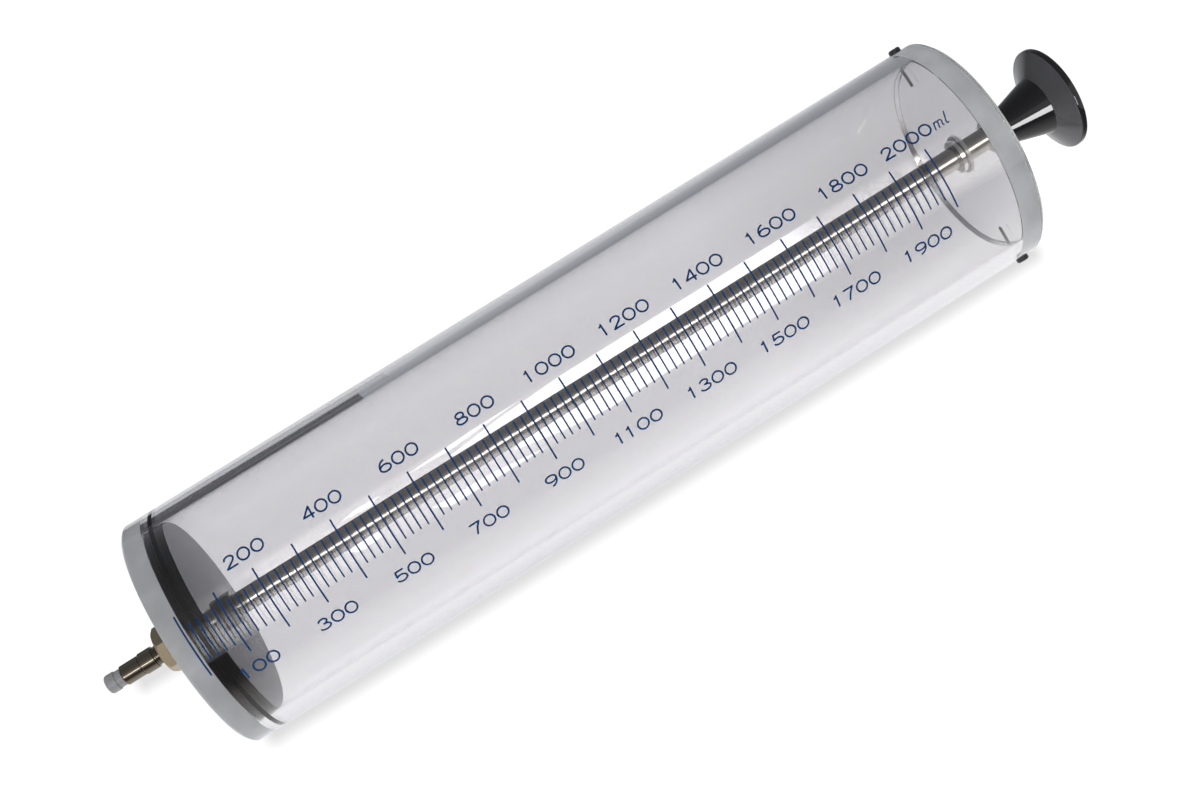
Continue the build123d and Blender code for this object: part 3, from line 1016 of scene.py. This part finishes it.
# %% Node tree for the marks
MARK_INPUTS = {
    "Marks": "NodeSocketInt",
    "Long Every": "NodeSocketInt",
    "Pitch": "NodeSocketFloat",
    "Zero Height": "NodeSocketFloat",
    "Radius": "NodeSocketFloat",
    "Ink": "NodeSocketMaterial",
}


def mark_tree():
    """Geometry Nodes that print Marks strips at the given Pitch, every Long Every-th one long."""
    group = bpy.data.node_groups.new("scale_marks", "GeometryNodeTree")
    group.interface.new_socket("Geometry", in_out="OUTPUT", socket_type="NodeSocketGeometry")
    for label, kind in MARK_INPUTS.items():
        group.interface.new_socket(label, in_out="INPUT", socket_type=kind)
    given = add_node(group, "NodeGroupInput").outputs
    start = add_node(group, "ShaderNodeCombineXYZ", {"Z": given["Zero Height"]})
    step = add_node(group, "ShaderNodeCombineXYZ", {"Z": maths(group, "MULTIPLY", given["Pitch"], -1.0)})
    spread = {"Count": given["Marks"], "Start Location": start.outputs[0], "Offset": step.outputs[0]}
    line = add_node(group, "GeometryNodeMeshLine", spread)
    number = read(group, "GeometryNodeInputIndex", 0)
    short = maths(group, "GREATER_THAN", maths(group, "MODULO", number, given["Long Every"]), 0.5)
    long = maths(group, "LESS_THAN", short, 0.5)
    both = add_node(group, "GeometryNodeJoinGeometry")
    for chosen, length, width in ((long, long_mark, long_width), (short, short_mark, short_width)):
        strip = wrapped_strip(group, given["Radius"], length, mark_centre, width)
        laid = {"Points": line.outputs["Mesh"], "Selection": chosen, "Instance": strip}
        copies = add_node(group, "GeometryNodeInstanceOnPoints", laid)
        group.links.new(copies.outputs["Instances"], both.inputs[0])
    real = add_node(group, "GeometryNodeRealizeInstances", {0: both.outputs[0]})
    painted = {"Geometry": real.outputs[0], "Material": given["Ink"]}
    inked = add_node(group, "GeometryNodeSetMaterial", painted)
    add_node(group, "NodeGroupOutput", {0: inked.outputs[0]})
    return group


print("inputs of the tree", list(MARK_INPUTS))

# %% Marks
def grown(name, group, **values):
    """The plain mesh that a node tree makes from the given inputs."""
    seed = bpy.data.objects.new(name, bpy.data.meshes.new(name + "_seed"))
    bpy.context.scene.collection.objects.link(seed)
    modifier = seed.modifiers.new("grow", "NODES")
    modifier.node_group = group
    for item in group.interface.items_tree:
        if item.in_out == "INPUT":
            modifier[item.identifier] = values[item.name.replace(" ", "_").lower()]
    bpy.context.view_layer.update()
    made = bpy.data.meshes.new_from_object(seed.evaluated_get(bpy.context.evaluated_depsgraph_get()))
    seed.modifiers.remove(modifier)
    made.name = name
    seed.data = made
    return seed


mark_step, label_step = 20, 100
marks = grown(
    "scale_marks",
    mark_tree(),
    marks=full_scale // mark_step + 1,
    long_every=label_step // mark_step,
    pitch=stroke * mark_step / full_scale,
    zero_height=zero_height,
    radius=barrel_radius,
    ink=blue_ink,
)
dress(marks, blue_ink, "barrel", None)

# %% [markdown]
# The numbers are wide, with round zeros. Each sign is a few pen strokes on a grid of
# millimetres, and each stroke becomes a narrow ribbon with round ends on the barrel's surface.
# The table holds the width of each sign and then its strokes. A Text object would be quicker,
# but it takes the shapes of a font, while strokes can be drawn as wide as the printed signs and
# get points close enough to follow the barrel's curve.

# %% Pen strokes of the signs
bow_step = 12


def bow(cx, cy, rx, ry, start, end):
    """Points on an ellipse between two angles in degrees, counted from the right and upwards."""
    steps = max(4, round(abs(end - start) / bow_step))
    turns = [radians(start + (end - start) * k / steps) for k in range(steps + 1)]
    return [(cx + rx * cos(a), cy + ry * sin(a)) for a in turns]


sign_height, sign_gap = 4.65, 1.35
stroke_width, letter_width = 0.76, 0.55
SIGNS = {
    "0": (4.5, [bow(2.25, 2.325, 2.25, 2.325, 0, 360)]),
    "1": (3.4, [[(1.15, 0), (1.15, 4.65)], [(1.15, 4.6), (0.8, 4.1), (0.2, 3.85)]]),
    "2": (4.2, [bow(2.05, 3.35, 1.8, 1.3, 172, -20) + [(3.3, 2.35), (0.1, 0)], [(0.1, 0), (4.2, 0)]]),
    "3": (4.3, [bow(2.05, 3.55, 1.65, 1.1, 155, -90), bow(2.05, 1.225, 2.15, 1.225, 90, -160)]),
    "4": (4.2, [[(3.3, 0), (3.3, 4.65)], [(3.3, 4.65), (0, 1.3)], [(0, 1.3), (4.2, 1.3)]]),
    "5": (
        4.3,
        [
            [(3.8, 4.65), (0.85, 4.65)],
            [(0.85, 4.65), (0.55, 2.45)],
            bow(2.1, 1.42, 2.15, 1.42, 136, -150),
        ],
    ),
    "6": (4.3, [bow(2.15, 1.4, 2.15, 1.4, 180, -180), bow(3.0, 1.6, 3.0, 3.05, 180, 98)]),
    "7": (4.0, [[(0, 4.65), (3.95, 4.65)], [(3.95, 4.65), (2.4, 2.6), (1.3, 0)]]),
    "8": (4.2, [bow(2.1, 3.5, 1.6, 1.15, 0, 360), bow(2.1, 1.18, 2.1, 1.18, 0, 360)]),
    "9": (4.3, [bow(2.15, 3.25, 2.15, 1.4, 0, 360), bow(1.3, 3.05, 3.0, 3.05, 0, -82)]),
    "m": (
        4.0,
        [
            [(0.0, 0), (0.8, 2.9)],
            bow(1.5, 2.05, 0.85, 0.85, 150, 0) + [(1.8, 0)],
            bow(3.15, 2.05, 0.85, 0.85, 150, 0) + [(3.5, 0.35), (4.0, 0.25)],
        ],
    ),
    "l": (1.2, [[(1.5, 4.9), (-0.1, 0.7)] + bow(0.45, 0.55, 0.55, 0.45, 190, 300)]),
}
print("signs", "".join(SIGNS))

# %% Ribbons
point_pitch, cap_steps = 0.4, 6


def resampled(points):
    """The same line with points at an even pitch, so that it can follow the barrel's curve."""
    line = [Vector(points[0])]
    for start, end in zip(points, points[1:], strict=False):
        start, end = Vector(start), Vector(end)
        steps = max(1, round((end - start).length / point_pitch))
        line += [start.lerp(end, (k + 1) / steps) for k in range(steps)]
    return line


def ribbon(points, width):
    """Outline of a pen stroke: both sides of the line and a half circle at each end."""
    line = resampled(points)
    half = width / 2
    endless = (line[0] - line[-1]).length < 1e-6
    sides = []
    for k, here in enumerate(line):
        before = line[k - 1] if k else (line[-2] if endless else here)
        after = line[k + 1] if k < len(line) - 1 else (line[1] if endless else here)
        along = (after - before).normalized()
        across = Vector((-along.y, along.x)) * half
        sides.append((here + across, here - across))
    quads = [(sides[k][0], sides[k][1], sides[k + 1][1], sides[k + 1][0]) for k in range(len(sides) - 1)]
    if endless:
        return quads
    for tip, spoke in ((line[0], sides[0][0] - line[0]), (line[-1], sides[-1][1] - line[-1])):
        fan = [tip + Matrix.Rotation(pi * k / cap_steps, 2) @ spoke for k in range(cap_steps + 1)]
        quads += [(tip, fan[k], fan[k + 1]) for k in range(cap_steps)]
    return quads


print("a ribbon has a point every", point_pitch, "mm")

# %% [markdown]
# Where two strokes of a sign meet they would lie in the same place, and the renderer could not
# tell which is in front, so each next stroke is printed a few thousandths of a millimetre
# deeper. Even hundreds stand in the upper row and odd hundreds in the lower one.

# %% Numbers
stroke_step, weld_distance = 0.004 * MM, 0.0005 * MM
upper_row, lower_row = 15.3 * MM, -23.9 * MM


def write(work, words, middle_height, middle_arc):
    """Signs along the barrel, centred on a height, raised on an arc length round the barrel."""
    total = sum(SIGNS[sign][0] for sign in words) + sign_gap * (len(words) - 1)
    pen = -total / 2
    for sign in words:
        width, strokes = SIGNS[sign]
        for layer, points in enumerate(strokes):
            radius = barrel_radius - layer * stroke_step
            for corners in ribbon(points, letter_width if sign in "ml" else stroke_width):
                loop = []
                for x, y in corners:
                    angle = (middle_arc + (y - sign_height / 2) * MM) / barrel_radius
                    loop.append((radius * sin(angle), -radius * cos(angle), middle_height - (pen + x) * MM))
                work.faces.new([work.verts.new(point) for point in loop])
        pen += width + sign_gap


work = bmesh.new()
for value in range(label_step, full_scale + 1, label_step):
    words = f"{value}ml" if value == full_scale else str(value)
    row = upper_row if value // label_step % 2 == 0 else lower_row
    write(work, words, height(stroke * value / full_scale), row)
bmesh.ops.remove_doubles(work, verts=work.verts, dist=weld_distance)
for face in work.faces:
    face.normal_update()
    middle = face.calc_center_median()
    if face.normal.dot(Vector((middle.x, middle.y, 0))) < 0:
        face.normal_flip()
numbers_mesh = bpy.data.meshes.new("scale_numbers")
work.to_mesh(numbers_mesh)
work.free()
numbers = shown("scale_numbers", numbers_mesh)
dress(numbers, blue_ink, "barrel", None)

# %% [markdown]
# ## Pieces kept from the frame
#
# Six small pieces are already right in the measured model, so they stay and only get a finish.

# %% Finishes of the kept pieces
KEPT = {
    "plug_screws": black_steel,
    "rod_seal": rubber,
    "rod_bushing": bearing_plastic,
    "rod_nut": nut_steel,
    "nozzle_gasket": rubber,
    "hex_adapter": nickel_brass,
}
for node, material in KEPT.items():
    nodes[node].data.materials.clear()
    nodes[node].data.materials.append(material)
print("kept", list(KEPT))
